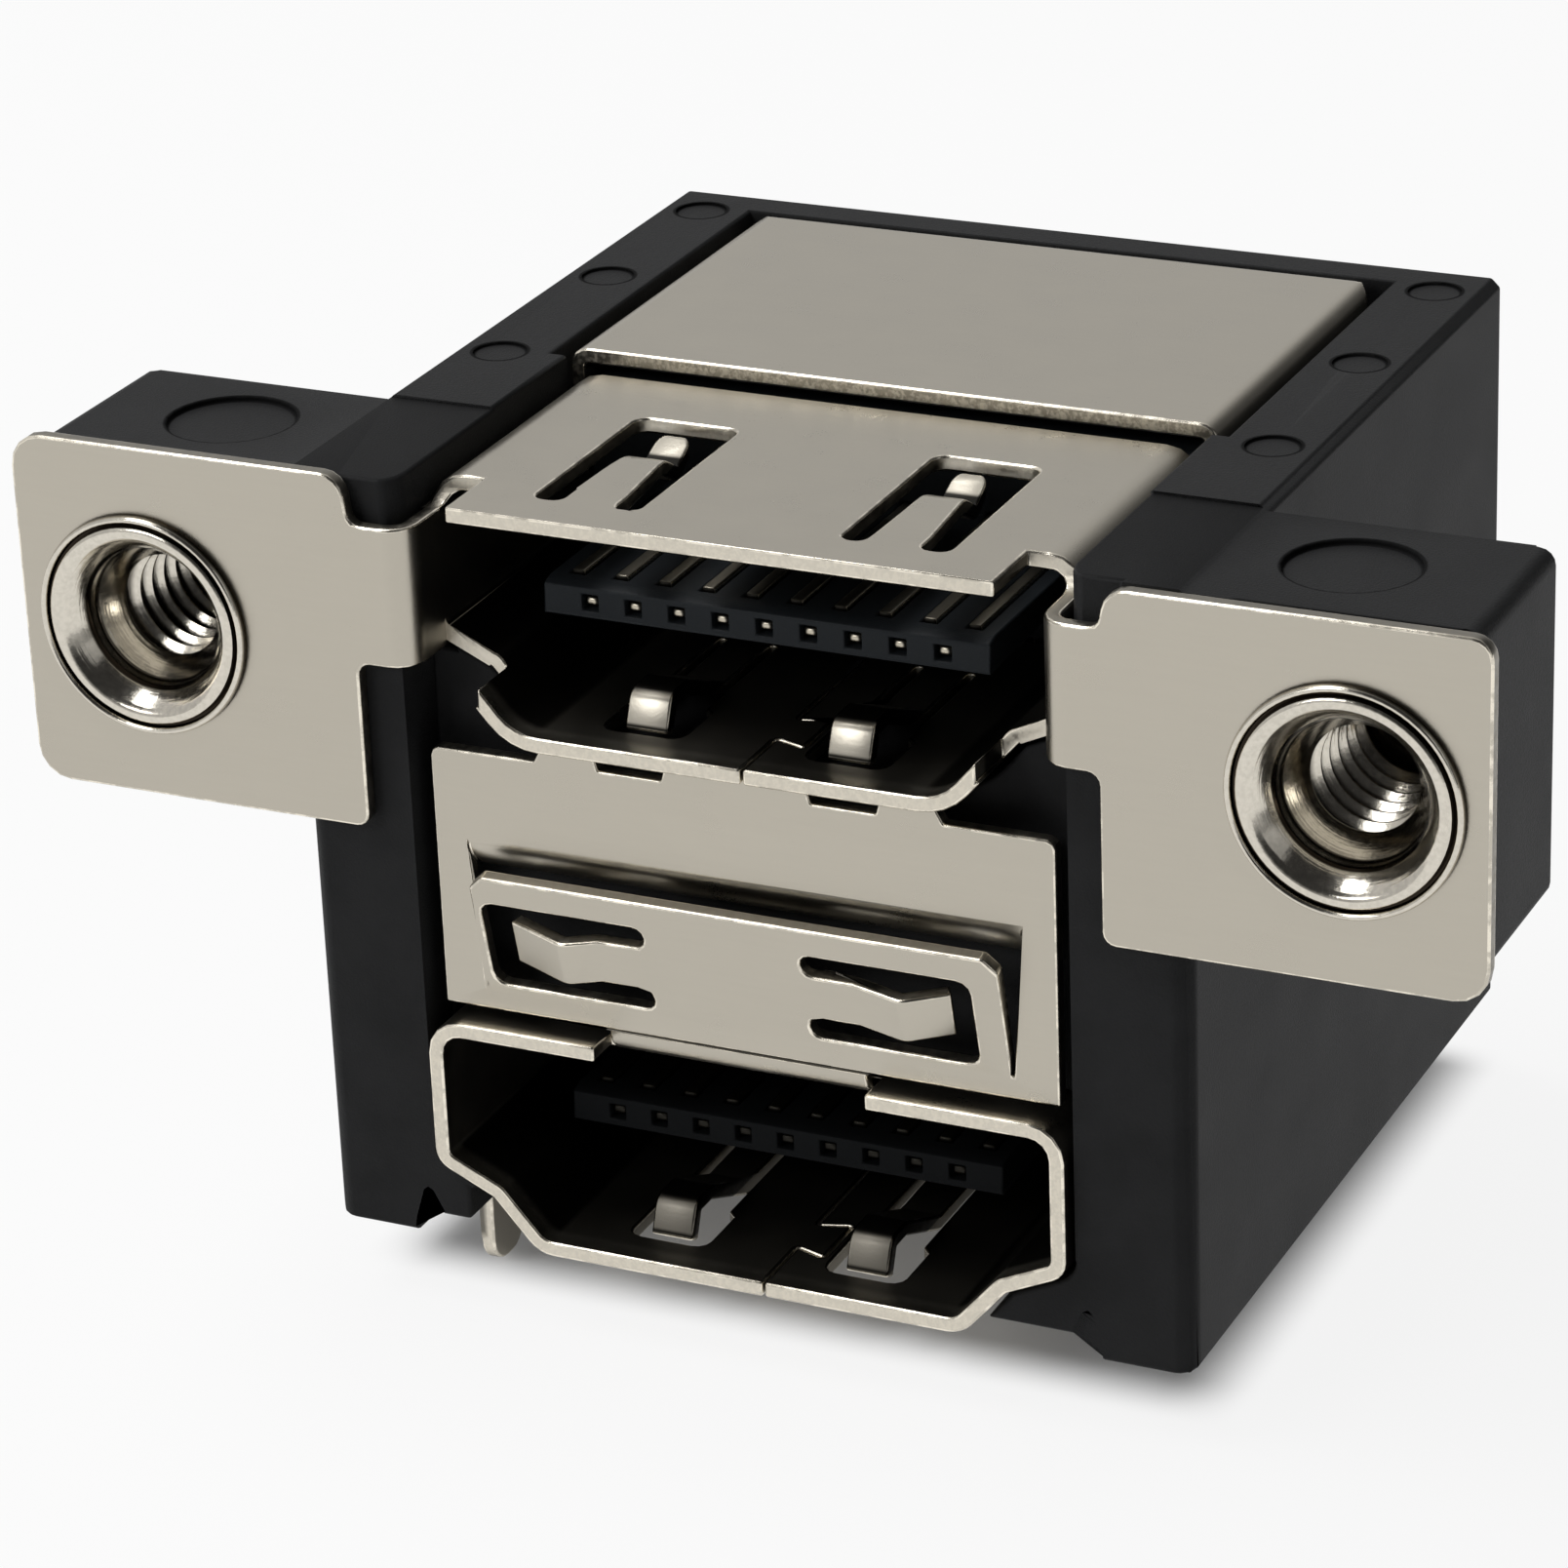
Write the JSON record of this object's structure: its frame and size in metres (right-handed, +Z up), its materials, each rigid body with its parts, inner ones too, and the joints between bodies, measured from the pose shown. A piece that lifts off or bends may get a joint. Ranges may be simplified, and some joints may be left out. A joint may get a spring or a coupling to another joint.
{
  "type": "hdmi socket",
  "caption": "Stacked board-mounted socket block: ports one above the other in sprung metal shells, threaded side flanges, a moulded housing and through-hole legs.",
  "frame": {"origin": "bottom centre of the whole part's box, level with the tips of the solder legs", "axes": "+X across the part, to the right seen from the front; +Y from the ports towards the rear; +Z up, away from the board"},
  "size_m": [0.0328, 0.0198, 0.0192],
  "materials": {
    "nickel_plate": "satin nickel over stamped sheet",
    "turned_nickel": "polished nickel over turned metal",
    "black_moulding": "matt black moulding",
    "tongue_moulding": "matt blue-black moulding",
    "contact_plating": "bright plating over spring metal"
  },
  "bodies": {
    "root": {"housing": "black_moulding", "upper_shell": "nickel_plate", "lower_shell": "nickel_plate", "cap_shield": "nickel_plate", "upper_contact_carrier": "tongue_moulding", "lower_contact_carrier": "tongue_moulding", "threaded_insert_left": "turned_nickel", "threaded_insert_right": "turned_nickel", "tail_aligner": "black_moulding", "upper_port_top_contact_01": "contact_plating", "upper_port_top_contact_02": "contact_plating", "upper_port_top_contact_03": "contact_plating", "upper_port_top_contact_04": "contact_plating", "upper_port_top_contact_05": "contact_plating", "upper_port_top_contact_06": "contact_plating", "upper_port_top_contact_07": "contact_plating", "upper_port_top_contact_08": "contact_plating", "upper_port_top_contact_09": "contact_plating", "upper_port_top_contact_10": "contact_plating", "upper_port_bottom_contact_01": "contact_plating", "upper_port_bottom_contact_02": "contact_plating", "upper_port_bottom_contact_03": "contact_plating", "upper_port_bottom_contact_04": "contact_plating", "upper_port_bottom_contact_05": "contact_plating", "upper_port_bottom_contact_06": "contact_plating", "upper_port_bottom_contact_07": "contact_plating", "upper_port_bottom_contact_08": "contact_plating", "upper_port_bottom_contact_09": "contact_plating", "lower_port_top_contact_01": "contact_plating", "lower_port_top_contact_02": "contact_plating", "lower_port_top_contact_03": "contact_plating", "lower_port_top_contact_04": "contact_plating", "lower_port_top_contact_05": "contact_plating", "lower_port_top_contact_06": "contact_plating", "lower_port_top_contact_07": "contact_plating", "lower_port_top_contact_08": "contact_plating", "lower_port_top_contact_09": "contact_plating", "lower_port_top_contact_10": "contact_plating", "lower_port_bottom_contact_01": "contact_plating", "lower_port_bottom_contact_02": "contact_plating", "lower_port_bottom_contact_03": "contact_plating", "lower_port_bottom_contact_04": "contact_plating", "lower_port_bottom_contact_05": "contact_plating", "lower_port_bottom_contact_06": "contact_plating", "lower_port_bottom_contact_07": "contact_plating", "lower_port_bottom_contact_08": "contact_plating", "lower_port_bottom_contact_09": "contact_plating"}
  },
  "joints": []
}
